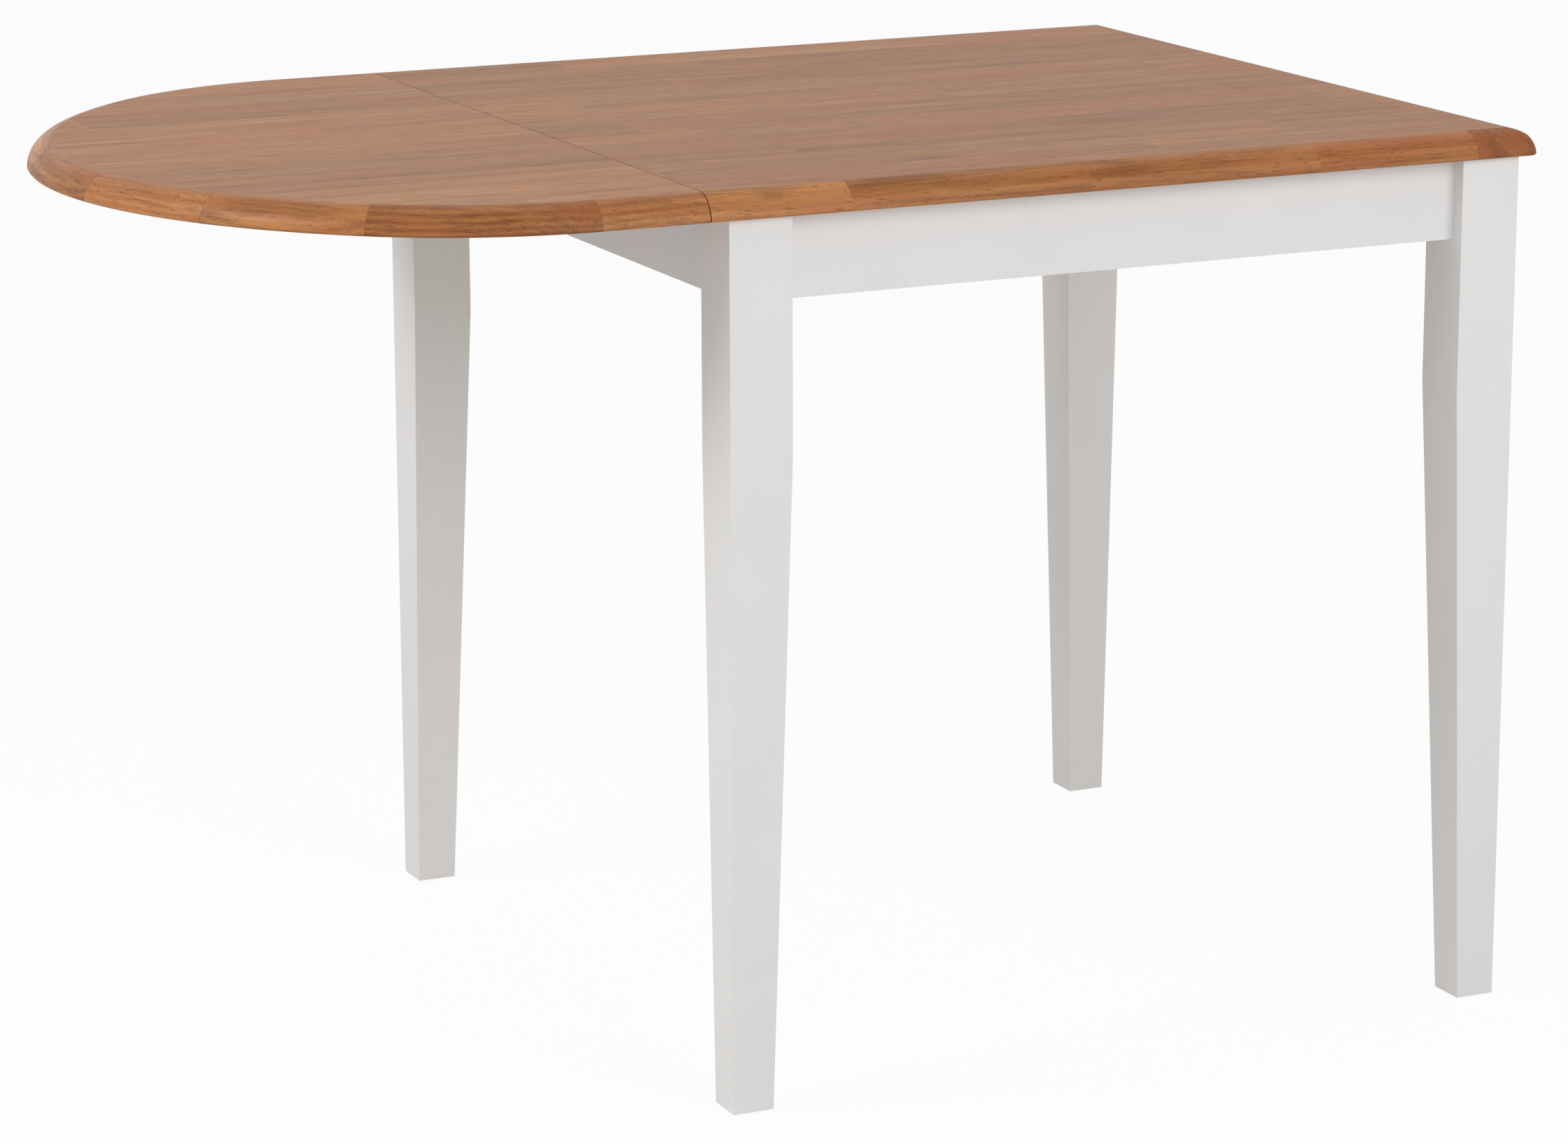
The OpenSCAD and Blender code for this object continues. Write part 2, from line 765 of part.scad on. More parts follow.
module prop_bracket(side) {
    ear_offset = prop_thickness / 2 + ear_gap;
    ear_radius = prop_width / 2 + ear_rim;
    color(ZINC) difference() {
        at_prop_pivot(side) {
            translate([-bracket_length / 2, -bracket_width / 2, prop_pivot_drop - plate_thickness])
                cube([bracket_length, bracket_width, plate_thickness]);
            for (flip = [0, 1]) mirror([0, flip, 0]) translate([0, ear_offset, 0]) {
                rotate([-90, 0, 0]) cylinder(h = ear_thickness, r = ear_radius);
                translate([-ear_radius, 0, 0]) cube([2 * ear_radius, ear_thickness, prop_pivot_drop]);
            }
        }
        at_prop_pivot(side) rotate([90, 0, 0])
            cylinder(h = bracket_width, r = prop_pin_radius + running_fit, center = true);
        prop_screws_into_leaf() screw_hole(screw_length);
    }
}

module prop_pin(side) {
    inside = prop_thickness / 2 + ear_gap + ear_thickness + pin_head_gap;
    color(STEEL) at_prop_pivot(side) rotate([90, 0, 0]) {
        cylinder(h = 2 * inside + pin_head_thickness, r = prop_pin_radius, center = true);
        for (flip = [0, 1]) mirror([0, 0, flip]) translate([0, 0, inside])
            cylinder(h = pin_head_thickness, r = prop_pin_radius + pin_head_rim);
    }
}

module prop_screws_into_leaf() {
    along = bracket_length / 2 - bracket_end_margin;
    across = bracket_width / 2 - bracket_side_margin;
    for (side = [-1, 1], i = [-1, 1], j = [-1, 1]) at_prop_pivot(side)
        translate([i * along, j * across, prop_pivot_drop - plate_thickness])
            rotate([180, 0, 0]) children();
}

module leaf_fixing_holes() {
    prop_screws_into_leaf() screw_hole(screw_length);
}

// Plate on the outer face of the apron by the leaf
module at_bearing(side) {
    translate([seam_x + apron_gap, side * prop_offset, under_top - prop_shoe_drop]) children();
}

module prop_plate(side) {
    lowest = min(bearing_plate_height / 2, apron_height - prop_shoe_drop);
    color(ZINC) difference() {
        at_bearing(side) translate([-plate_thickness, -bearing_plate_width / 2, -lowest])
            cube([plate_thickness, bearing_plate_width, bearing_plate_height / 2 + lowest]);
        prop_screws_into_apron() screw_hole(screw_length);
    }
}

module prop_screws_into_apron() {
    for (side = [-1, 1], i = [-0.5, 0.5]) at_bearing(side)
        translate([-plate_thickness, i * bearing_screw_spacing, 0]) rotate([0, -90, 0]) children();
}

module prop_screws_leaf() {
    color(ZINC) prop_screws_into_leaf() screw(screw_length);
}

module prop_screws_apron() {
    color(ZINC) prop_screws_into_apron() screw(screw_length);
}

// ---------- Nodes ----------

top_core();
top_veneer();
top_lipping_front();
top_lipping_rear();
top_lipping_end();
top_seam_strip();
leaf_core();
leaf_veneer();
leaf_lipping();
leaf_seam_strip();
leg(0, 0);  // leg_leaf_front
leg(0, 1);  // leg_leaf_rear
leg(1, 0);  // leg_end_front
leg(1, 1);  // leg_end_rear
side_apron(0);  // apron_front
side_apron(1);  // apron_rear
end_apron(0);  // apron_leaf_end
end_apron(1);  // apron_fixed_end
corner_block(0, 0);  // block_leaf_front
corner_block(0, 1);  // block_leaf_rear
corner_block(1, 0);  // block_end_front
corner_block(1, 1);  // block_end_rear
corner_bolts();
corner_washers();
corner_nuts();
block_screws();
apron_dowels();
top_angles();
angle_screws();
foot_glides();
hinge_half(-1, 1);  // hinge_front_fixed
hinge_half(-1, -1);  // hinge_front_moving
hinge_pin(-1);  // hinge_front_pin
hinge_half(0, 1);  // hinge_middle_fixed
hinge_half(0, -1);  // hinge_middle_moving
hinge_pin(0);  // hinge_middle_pin
hinge_half(1, 1);  // hinge_rear_fixed
hinge_half(1, -1);  // hinge_rear_moving
hinge_pin(1);  // hinge_rear_pin
hinge_screws_top();
hinge_screws_leaf();
prop_bar(-1);  // prop_front
prop_bar(1);  // prop_rear
prop_shoe(-1);  // prop_shoe_front
prop_shoe(1);  // prop_shoe_rear
prop_bracket(-1);  // prop_bracket_front
prop_bracket(1);  // prop_bracket_rear
prop_pin(-1);  // prop_pin_front
prop_pin(1);  // prop_pin_rear
prop_plate(-1);  // prop_plate_front
prop_plate(1);  // prop_plate_rear
prop_screws_leaf();
prop_screws_apron();
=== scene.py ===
import json
import math

import bpy
from bpy.props import FloatProperty, FloatVectorProperty, PointerProperty
from mathutils import Matrix, Vector


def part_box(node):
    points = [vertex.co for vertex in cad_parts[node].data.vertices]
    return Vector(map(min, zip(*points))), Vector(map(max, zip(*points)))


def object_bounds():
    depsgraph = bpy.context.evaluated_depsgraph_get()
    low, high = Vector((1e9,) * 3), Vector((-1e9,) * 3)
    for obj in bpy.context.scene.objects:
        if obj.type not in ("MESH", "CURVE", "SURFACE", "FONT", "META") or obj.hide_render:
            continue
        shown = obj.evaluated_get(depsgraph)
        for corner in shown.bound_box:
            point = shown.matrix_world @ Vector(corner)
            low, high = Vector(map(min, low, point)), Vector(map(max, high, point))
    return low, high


bl_info = {
    "name": "Drop-leaf table finishes",
    "version": (1, 0, 0),
    "blender": (4, 5, 0),
    "location": "View3D > Sidebar > Table",
    "description": "Stained wood, white paint, steel and rubber for a drop-leaf table, with its studio",
    "category": "Material",
}

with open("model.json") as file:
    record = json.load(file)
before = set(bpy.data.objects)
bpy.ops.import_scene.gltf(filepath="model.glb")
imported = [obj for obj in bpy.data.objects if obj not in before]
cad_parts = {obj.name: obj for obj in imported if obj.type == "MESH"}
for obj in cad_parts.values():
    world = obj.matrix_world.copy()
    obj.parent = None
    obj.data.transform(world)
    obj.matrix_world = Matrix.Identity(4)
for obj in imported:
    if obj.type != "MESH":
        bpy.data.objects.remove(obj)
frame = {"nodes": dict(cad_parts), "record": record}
NODES = frame["nodes"]
CAD_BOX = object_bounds()

MM = 0.001

# The round tip of the leaf: its outer radius, half the angle that it spans, the pieces of lipping around
# it, and where the leaf's straight sides begin, counted along X from the centre of the tip's arc.
LEAF_TIP_RADIUS = 405.25 * MM
LEAF_TIP_HALF_ANGLE = math.radians(50.9)
LEAF_TIP_PIECES = 5
LEAF_BEAM_START = -85.25 * MM

# How far the broad bands and the end grain shift the wood between its dark stain, at 0, and its light
# stain, at 1, and where the wood lies when nothing shifts it.
BAND_WEIGHT = 1.1
END_GRAIN_WEIGHT = 0.55
MIDDLE_SHADE = 0.53

# The pith of the solid lipping: its height, and how far it strays from piece to piece. The rings waver
# slowly along the grain, where their ripples see only this share of the distance.
PITH_HEIGHT = 690 * MM
PITH_WANDER = 70 * MM
RING_STRETCH = 0.22

# The wave texture repeats after this length at a scale of one.
WAVE_REPEAT = math.pi / 10

# How far apart the grain of two pieces may be taken from one endless plank, in metres.
GRAIN_JUMP = 9.0


def srgb(code):
    """Turns an sRGB hex colour into the linear colour that Blender's shaders work in."""
    channels = [int(code[i:i + 2], 16) / 255 for i in (1, 3, 5)]
    return [c / 12.92 if c <= 0.04045 else ((c + 0.055) / 1.055) ** 2.4 for c in channels]


def colour(name, description, code):
    """A colour that a user can change, given as sRGB hex."""
    return FloatVectorProperty(name=name, description=description, subtype="COLOR", size=3,
                               min=0, max=1, default=srgb(code))


def length(name, description, millimetres):
    """A size that a user can change, given in millimetres."""
    return FloatProperty(name=name, description=description, subtype="DISTANCE", unit="LENGTH",
                         min=0, default=millimetres * MM)


# ---------- What a user can change ----------

class TableWood(bpy.types.PropertyGroup):
    light: colour("Light stain", "Palest fibres of the stained veneer", "#C08858")
    dark: colour("Dark stain", "Darkest fibres of the stained veneer", "#835536")
    blush: colour("Blush", "Pinkish bands in the stained veneer", "#B06C46")
    streak: colour("Streak", "Mineral streaks, pores and knots", "#4A2C18")
    edge_light: colour("Light lipping", "Palest fibres of the solid lipping", "#C98A54")
    edge_dark: colour("Dark lipping", "Darkest fibres of the solid lipping", "#85502C")
    edge_blush: colour("Warm lipping", "Reddish bands in the solid lipping", "#B06A42")
    piece_length: length("Piece length", "Length of one finger-jointed piece of the straight lippings", 210)
    piece_shift: length("Piece shift", "Shift of the finger joints, towards the leaf or the front", 50)
    stave_width: length("Stave width", "Width of one stave of the veneered tops", 74)
    stave_length: length("Stave length", "Length of one stave of the veneered tops", 560)
    fibre_width: length("Fibre width", "Width of one streak of the grain", 2.4)
    fibre_length: length("Fibre length", "Length of one streak of the grain", 90)
    pore_width: length("Pore width", "Width of an open pore, drawn coarse so that it shows", 0.9)
    pore_length: length("Pore length", "Length of an open pore", 11)
    ring_width: length("Ring width", "Thickness of one growth ring of the solid lipping", 5)


class TablePaint(bpy.types.PropertyGroup):
    white: colour("White", "Satin white paint of the legs and aprons", "#E9E8E7")
    orange_peel: length("Orange peel", "Spacing of the ripples that a spray gun leaves", 1.6)
    leg_edge: length("Leg edge", "Radius of a leg's rounded edges", 3)
    apron_edge: length("Apron edge", "Radius of an apron's rounded edges", 1.2)


class TableBareTimber(bpy.types.PropertyGroup):
    board_dark: colour("Dark board", "Darker chips of the core boards", "#A98358")
    board_light: colour("Light board", "Paler chips of the core boards", "#CFAE82")
    chip: length("Chip", "Size of the chips in the core boards", 2.5)
    beech_dark: colour("Dark beech", "Darker flecks of the blocks and dowels", "#BF9468")
    beech_light: colour("Light beech", "Paler wood of the blocks and dowels", "#D8B58A")
    fleck: length("Fleck", "Size of the flecks in the blocks and dowels", 1.5)


class TableFittings(bpy.types.PropertyGroup):
    zinc: colour("Zinc", "Plating of the hinges, angles, screws and bolts", "#B4B7BA")
    steel: colour("Steel", "Bare steel of the pins and the props", "#8E9296")
    nylon_dark: colour("Dark nylon", "Darker tone of the foot glides", "#B9B8B4")
    nylon_light: colour("Light nylon", "Paler tone of the foot glides", "#C6C5C1")
    rubber_dark: colour("Dark rubber", "Darker tone of the props' shoes", "#161616")
    rubber_light: colour("Light rubber", "Paler tone of the props' shoes", "#242424")


class TableStage(bpy.types.PropertyGroup):
    floor: colour("Floor", "Pale studio floor", "#F4F4F4")
    ambient: FloatProperty(name="Ambient", description="Strength of the light from all around",
                           default=0.42, min=0)
    key: FloatProperty(name="Key", description="Power of the large lamp in front, in watts",
                       unit="POWER", default=52, min=0)
    side: FloatProperty(name="Side", description="Power of the lamp high on the leaf's side, in watts",
                        unit="POWER", default=108, min=0)
    camera_azimuth: FloatProperty(name="Camera azimuth", description="Turn of the camera about the table",
                                  subtype="ANGLE", default=math.radians(-25.073))
    camera_elevation: FloatProperty(name="Camera elevation", description="Height of the camera, as an angle",
                                    subtype="ANGLE", default=math.radians(13.794))
    camera_roll: FloatProperty(name="Camera roll", description="Tilt of the camera about its own axis",
                               subtype="ANGLE", default=math.radians(-0.154))
    camera_distance: FloatProperty(name="Camera distance", description="From the camera to its target",
                                   subtype="DISTANCE", unit="LENGTH", default=4.3475)
    camera_target: FloatVectorProperty(name="Camera target", description="Point that the camera looks at",
                                       subtype="TRANSLATION", size=3, default=(0.0583, -0.0148, 0.3499))
    camera_lens: FloatProperty(name="Lens", description="Focal length of the camera, in millimetres",
                               unit="CAMERA", default=115.62, min=1)


# ---------- Material helpers ----------

def add(owner, kind, inputs=None, **settings):
    """Adds a node to a material, a world or a tree, sets it up, and feeds its inputs with values, sockets
    or nodes. A kind that doesn't name a node type in full is a shader node."""
    tree = getattr(owner, "node_tree", owner)
    node = tree.nodes.new(kind if "Node" in kind else "ShaderNode" + kind)
    for name, value in settings.items():
        setattr(node, name, value)
    for name, value in (inputs or {}).items():
        if isinstance(value, bpy.types.Node):
            value = next(output for output in value.outputs if output.enabled)
        if isinstance(value, bpy.types.NodeSocket):
            tree.links.new(value, node.inputs[name])
        else:
            node.inputs[name].default_value = value
    return node


def new_material(name):
    """An empty node material."""
    material = bpy.data.materials.new(name)
    material.use_nodes = True
    material.node_tree.nodes.clear()
    return material


def rgba(value):
    """A colour with the fourth channel that node sockets ask for."""
    return (*value, 1)


def finish_nodes(names, material):
    """Gives pieces of the frame their finish."""
    for name in names:
        node = NODES[name]
        node.data.materials.clear()
        node.data.materials.append(material)


# ---------- Wood ----------

def streaks(material, vector, long, wide, detail, distortion=0.0):
    """Noise drawn out along X, as long and as wide as the given real sizes."""
    stretched = add(material, "VectorMath", {0: vector, 1: (1 / long, 1 / wide, 1 / wide)},
                    operation="MULTIPLY")
    return add(material, "TexNoise", {"Vector": stretched, "Scale": 1.0, "Detail": detail,
                                      "Roughness": 0.62, "Distortion": distortion})


def knot_spots(material, vector, spacing, long, wide):
    """Scattered knots and mineral spots of the given real sizes, at most one to a cell, drawn out along
    the grain. A slow warp gives them ragged outlines."""
    warp = add(material, "TexNoise", {"Vector": vector, "Scale": 1 / (33.3 * MM), "Detail": 3.0})
    push = add(material, "VectorMath", {0: warp.outputs["Color"], "Scale": 12 * MM}, operation="SCALE")
    moved = add(material, "VectorMath", {0: vector, 1: push}, operation="ADD")
    cells = add(material, "VectorMath", {0: moved, 1: (wide / long / spacing, 1 / spacing, 1 / spacing)},
                operation="MULTIPLY")
    spots = add(material, "TexVoronoi", {"Vector": cells, "Scale": 1.0})
    return add(material, "MapRange", {"Value": spots.outputs["Distance"], "From Max": wide / spacing,
                                      "To Min": 0.75, "To Max": 0.0}, interpolation_type="SMOOTHSTEP")


def growth_rings(material, place, chance, pith, width):
    """Growth rings about a pith that runs along X, near the piece: they show as lines along its faces and
    as arcs on its ends."""
    folded = add(material, "VectorMath", {0: place}, operation="ABSOLUTE")
    centred = add(material, "VectorMath", {0: folded, 1: (0, pith, PITH_HEIGHT)}, operation="SUBTRACT")
    wander = (PITH_WANDER, PITH_WANDER, PITH_WANDER)
    moved = add(material, "VectorMath", {0: chance.outputs["Color"], 1: wander, 2: centred},
                operation="MULTIPLY_ADD")
    drawn = add(material, "VectorMath", {0: moved, 1: (RING_STRETCH, 1, 1)}, operation="MULTIPLY")
    return add(material, "TexWave", {"Vector": drawn, "Scale": WAVE_REPEAT / width, "Distortion": 7.0,
                                     "Detail": 3.0, "Detail Scale": 0.4, "Detail Roughness": 0.6},
               wave_type="RINGS", rings_direction="X")


def stained_wood(material, wood, place, facing, chance, finish):
    """Surface of stained rubberwood with its fibres along X of the place. Each piece has its own chance,
    which moves its grain and sets its tone. End grain, which faces along X, soaks up more stain. The finish
    holds the stain's colours, the lacquer's roughness and sheen, the knots' spacing, length and width, how
    coarse the fibres are drawn, and how strongly the pieces, the fibres and the rings differ in tone."""
    jump = add(material, "VectorMath", {0: chance.outputs["Color"], "Scale": GRAIN_JUMP},
               operation="SCALE")
    vector = add(material, "VectorMath", {0: place, 1: jump}, operation="ADD")
    coarse = finish["coarse"]
    fibres = streaks(material, vector, wood.fibre_length, coarse * wood.fibre_width, detail=6.0)
    bands = streaks(material, vector, 4.5 * wood.fibre_length, 10 * wood.fibre_width, detail=3.0,
                    distortion=0.3)
    veins = streaks(material, vector, 1.2 * wood.fibre_length, 1.8 * coarse * wood.fibre_width, detail=5.0,
                    distortion=0.8)
    blush = streaks(material, vector, 3.0 * wood.fibre_length, 14 * wood.fibre_width, detail=2.0)
    pores = streaks(material, vector, coarse * wood.pore_length, coarse * wood.pore_width, detail=2.0)
    knots = knot_spots(material, vector, *finish["knots"])
    rings = growth_rings(material, place, chance, finish["pith"], wood.ring_width)

    tone = add(material, "MapRange", {"Value": chance.outputs["Value"], "To Min": -finish["contrast"],
                                      "To Max": finish["contrast"]})
    ringed = add(material, "Math", {0: rings, 1: finish["rings"], 2: tone}, operation="MULTIPLY_ADD")
    wide = add(material, "Math", {0: bands, 1: BAND_WEIGHT, 2: ringed}, operation="MULTIPLY_ADD")
    fine = add(material, "Math", {0: fibres, 1: finish["figure"], 2: wide}, operation="MULTIPLY_ADD")
    mean = (BAND_WEIGHT + finish["figure"] + finish["rings"]) / 2 - MIDDLE_SHADE
    level = add(material, "Math", {0: fine, 1: mean}, operation="SUBTRACT")
    across = add(material, "SeparateXYZ", {"Vector": facing}).outputs["X"]
    ends = add(material, "Math", {0: across}, operation="ABSOLUTE")
    shade = add(material, "Math", {0: ends, 1: -END_GRAIN_WEIGHT, 2: level}, operation="MULTIPLY_ADD",
                use_clamp=True)
    base = add(material, "Mix", {"Factor": shade, "A": rgba(finish["dark"]), "B": rgba(finish["light"])},
               data_type="RGBA")
    warmth = add(material, "MapRange", {"Value": blush, "From Min": 0.42, "From Max": 0.68, "To Max": 0.55},
                 interpolation_type="SMOOTHSTEP")
    warm = add(material, "Mix", {"Factor": warmth, "A": base, "B": rgba(finish["blush"])}, data_type="RGBA")
    vein = add(material, "MapRange", {"Value": veins, "From Min": 0.60, "From Max": 0.72, "To Max": 0.60},
               interpolation_type="SMOOTHSTEP")
    pore = add(material, "MapRange", {"Value": pores, "From Min": 0.58, "From Max": 0.66, "To Max": 0.50})
    mark = add(material, "Math", {0: vein, 1: pore}, operation="MAXIMUM")
    mark = add(material, "Math", {0: mark, 1: knots}, operation="MAXIMUM")
    colour = add(material, "Mix", {"Factor": mark, "A": warm, "B": rgba(wood.streak)}, data_type="RGBA")

    dull, shiny = finish["roughness"] + 0.06, finish["roughness"] - 0.05
    rough = add(material, "MapRange", {"Value": fibres, "From Min": 0.2, "From Max": 0.8,
                                       "To Min": dull, "To Max": shiny})
    height = add(material, "Math", {0: pore, 1: -1.5, 2: fibres}, operation="MULTIPLY_ADD")
    bump = add(material, "Bump", {"Height": height, "Strength": 0.25, "Distance": 0.2 * MM})
    shader = add(material, "BsdfPrincipled", {"Base Color": colour, "Roughness": rough, "Normal": bump,
                                              "IOR": 1.5, "Specular IOR Level": finish["specular"]})
    add(material, "OutputMaterial", {"Surface": shader})
    return material


def stave_material(wood, name, flitch):
    """Veneer of stained rubberwood, sliced thin, laid up from long staves and sealed with a matt lacquer:
    a pinkish brown with fine dark pores, where each stave has a tone of its own. Each top is laid from a
    flitch of its own. It is seen at a low angle, so its fibres and pores are drawn coarser than they are."""
    material = new_material(name)
    coordinates = add(material, "TexCoord").outputs
    place = coordinates["Object"]
    axes = add(material, "SeparateXYZ", {"Vector": place}).outputs
    across = add(material, "Math", {0: axes["Y"], 1: wood.stave_width}, operation="DIVIDE")
    row = add(material, "Math", {0: across}, operation="FLOOR")
    shift = add(material, "TexWhiteNoise", {"W": row}, noise_dimensions="1D").outputs["Value"]
    along = add(material, "Math", {0: axes["X"], 1: 1 / wood.stave_length, 2: shift},
                operation="MULTIPLY_ADD")
    stave = add(material, "Math", {0: along}, operation="FLOOR")
    cell = add(material, "CombineXYZ", {"X": stave, "Y": row, "Z": flitch})
    chance = add(material, "TexWhiteNoise", {"Vector": cell}, noise_dimensions="3D")
    finish = {"light": wood.light, "dark": wood.dark, "blush": wood.blush, "contrast": 0.20,
              "roughness": 0.50, "specular": 0.28, "knots": (270 * MM, 60 * MM, 18 * MM),
              "coarse": 1.5, "figure": 1.0, "rings": 0.0, "pith": 0.0}
    return stained_wood(material, wood, place, coordinates["Normal"], chance, finish)


def lipping_finish(wood, pith):
    """Solid rubberwood, moulded, sanded, stained and sprayed with satin lacquer: an orange brown with open
    pores, growth rings and dark mineral patches."""
    return {"light": wood.edge_light, "dark": wood.edge_dark, "blush": wood.edge_blush, "contrast": 0.24,
            "roughness": 0.36, "specular": 0.15, "knots": (130 * MM, 30 * MM, 16 * MM),
            "coarse": 1.0, "figure": 1.1, "rings": 0.30, "pith": pith}


def lipping_material(wood, name, axis, pith, batch):
    """Satin rubberwood of a straight lipping, glued up end to end from pieces of differing tone. The batch
    picks which tones come up."""
    material = new_material(name)
    coordinates = add(material, "TexCoord").outputs
    place = coordinates["Object"]
    axes = add(material, "SeparateXYZ", {"Vector": place}).outputs
    start = batch + wood.piece_shift / wood.piece_length
    along = add(material, "Math", {0: axes[axis], 1: 1 / wood.piece_length, 2: start},
                operation="MULTIPLY_ADD")
    piece = add(material, "Math", {0: along}, operation="FLOOR")
    chance = add(material, "TexWhiteNoise", {"W": piece}, noise_dimensions="1D")
    turn = math.pi / 2 if axis == "Y" else 0.0
    turned = add(material, "VectorRotate", {"Vector": place, "Angle": turn}, rotation_type="Z_AXIS")
    facing = add(material, "VectorRotate", {"Vector": coordinates["Normal"], "Angle": turn},
                 rotation_type="Z_AXIS")
    return stained_wood(material, wood, turned, facing, chance, lipping_finish(wood, pith))


def leaf_lipping_material(wood, pith, batch):
    """Satin rubberwood around the leaf. Each curved piece is sawn from a straight plank, so its grain stays
    straight while the edge bends away from it. The batch picks which tones come up."""
    material = new_material("satin_rubberwood_leaf_lipping")
    centre = (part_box("leaf_lipping")[0].x + LEAF_TIP_RADIUS, 0, 0)
    coordinates = add(material, "TexCoord").outputs
    place = coordinates["Object"]
    centred = add(material, "VectorMath", {0: place, 1: centre}, operation="SUBTRACT")
    axes = add(material, "SeparateXYZ", {"Vector": centred}).outputs
    inward = add(material, "Math", {0: axes["X"], 1: -1.0}, operation="MULTIPLY")
    angle = add(material, "Math", {0: axes["Y"], 1: inward}, operation="ARCTAN2")
    step = 2 * LEAF_TIP_HALF_ANGLE / LEAF_TIP_PIECES
    side = (LEAF_TIP_PIECES + 1) / 2
    nearest = add(material, "Math", {0: angle, 1: step}, operation="DIVIDE")
    nearest = add(material, "Math", {0: nearest}, operation="ROUND")
    bent = add(material, "Clamp", {"Value": nearest, "Min": -side, "Max": side})
    beam = add(material, "Math", {0: axes["X"], 1: LEAF_BEAM_START}, operation="GREATER_THAN")
    growth = add(material, "Math", {0: beam, 1: 1 / side, 2: 1.0}, operation="MULTIPLY_ADD")
    piece = add(material, "Math", {0: bent, 1: growth}, operation="MULTIPLY")
    piece = add(material, "Math", {0: piece}, operation="ROUND")
    numbered = add(material, "Math", {0: piece, 1: batch}, operation="ADD")
    turn = add(material, "Math", {0: piece, 1: step, 2: math.pi / 2}, operation="MULTIPLY_ADD")
    turned = add(material, "VectorRotate", {"Vector": centred, "Angle": turn}, rotation_type="Z_AXIS")
    facing = add(material, "VectorRotate", {"Vector": coordinates["Normal"], "Angle": turn},
                 rotation_type="Z_AXIS")
    chance = add(material, "TexWhiteNoise", {"W": numbered}, noise_dimensions="1D")
    return stained_wood(material, wood, turned, facing, chance, lipping_finish(wood, pith))


# ---------- Paint, metal, rubber and board ----------

# How bright the dullest clouds of a metal are, beside its brightest ones.
DULL_SHARE = 0.82


def paint_material(paint):
    """Satin white lacquer, sprayed on primed rubberwood and rubbed down: even and soft, with a faint orange
    peel, and the long fibres under it just showing."""
    material = new_material("satin_white_lacquer")
    place = add(material, "TexCoord").outputs["Object"]
    peel = add(material, "TexNoise", {"Vector": place, "Scale": 1 / paint.orange_peel, "Detail": 2.0})
    mottle = add(material, "TexNoise", {"Vector": place, "Scale": 1 / (71 * MM), "Detail": 3.0})
    tint = add(material, "MapRange", {"Value": mottle, "To Min": 0.965, "To Max": 1.02})
    white = add(material, "VectorMath", {0: paint.white, "Scale": tint}, operation="SCALE")
    rough = add(material, "MapRange", {"Value": mottle, "To Min": 0.34, "To Max": 0.46})
    bump = add(material, "Bump", {"Height": peel, "Strength": 0.10, "Distance": 0.15 * MM})
    shader = add(material, "BsdfPrincipled", {"Base Color": white, "Roughness": rough, "Normal": bump,
                                              "IOR": 1.5})
    add(material, "OutputMaterial", {"Surface": shader})
    return material


def metal_material(name, bright, low, high):
    """Rolled and pressed steel, bare or plated with zinc: grey, with fine scratches and a cloudy sheen that
    runs from the low roughness to the high one."""
    material = new_material(name)
    place = add(material, "TexCoord").outputs["Object"]
    cloud = add(material, "TexNoise", {"Vector": place, "Scale": 1 / (6.25 * MM), "Detail": 4.0})
    scratch = add(material, "TexNoise", {"Vector": place, "Scale": 1 / (0.4 * MM), "Detail": 1.0})
    rough = add(material, "MapRange", {"Value": cloud, "To Min": low, "To Max": high})
    dull = [channel * DULL_SHARE for channel in bright]
    tone = add(material, "Mix", {"Factor": cloud, "A": rgba(dull), "B": rgba(bright)}, data_type="RGBA")
    bump = add(material, "Bump", {"Height": scratch, "Strength": 0.08, "Distance": 0.05 * MM})
    shader = add(material, "BsdfPrincipled", {"Base Color": tone, "Metallic": 1.0, "Roughness": rough,
                                              "Normal": bump})
    add(material, "OutputMaterial", {"Surface": shader})
    return material


def gritty_material(name, dark, light, grit, rough, depth):
    """Rubber, nylon, beech or particle board: two close tones in a grit of the given real size and depth."""
    material = new_material(name)
    place = add(material, "TexCoord").outputs["Object"]
    noise = add(material, "TexNoise", {"Vector": place, "Scale": 1 / grit, "Detail": 3.0})
    tone = add(material, "Mix", {"Factor": noise, "A": rgba(dark), "B": rgba(light)}, data_type="RGBA")
    bump = add(material, "Bump", {"Height": noise, "Strength": 0.3, "Distance": depth})
    shader = add(material, "BsdfPrincipled", {"Base Color": tone, "Roughness": rough, "Normal": bump})
    add(material, "OutputMaterial", {"Surface": shader})
    return material


# ---------- Shapes ----------

# Faces that meet at more than this angle meet in an edge; the others belong to one curve.
SHARP_ANGLE = math.radians(25)


def clean_shading():
    """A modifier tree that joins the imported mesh's split corners and marks its edges sharp by angle."""
    tree = bpy.data.node_groups.new("join_and_sharpen", "GeometryNodeTree")
    tree.interface.new_socket("Geometry", in_out="INPUT", socket_type="NodeSocketGeometry")
    tree.interface.new_socket("Geometry", in_out="OUTPUT", socket_type="NodeSocketGeometry")
    start = add(tree, "NodeGroupInput")
    merged = add(tree, "GeometryNodeMergeByDistance", {"Geometry": start.outputs[0], "Distance": 0.01 * MM})
    angle = add(tree, "GeometryNodeInputMeshEdgeAngle").outputs["Unsigned Angle"]
    sharp = add(tree, "FunctionNodeCompare", {"A": angle, "B": SHARP_ANGLE})
    shaded = add(tree, "GeometryNodeSetMeshNormal", {"Mesh": merged}, mode="SHARPNESS")
    tree.links.new(sharp.outputs[0], shaded.inputs["Edge Sharpness"])
    add(tree, "NodeGroupOutput", {0: shaded})
    return tree


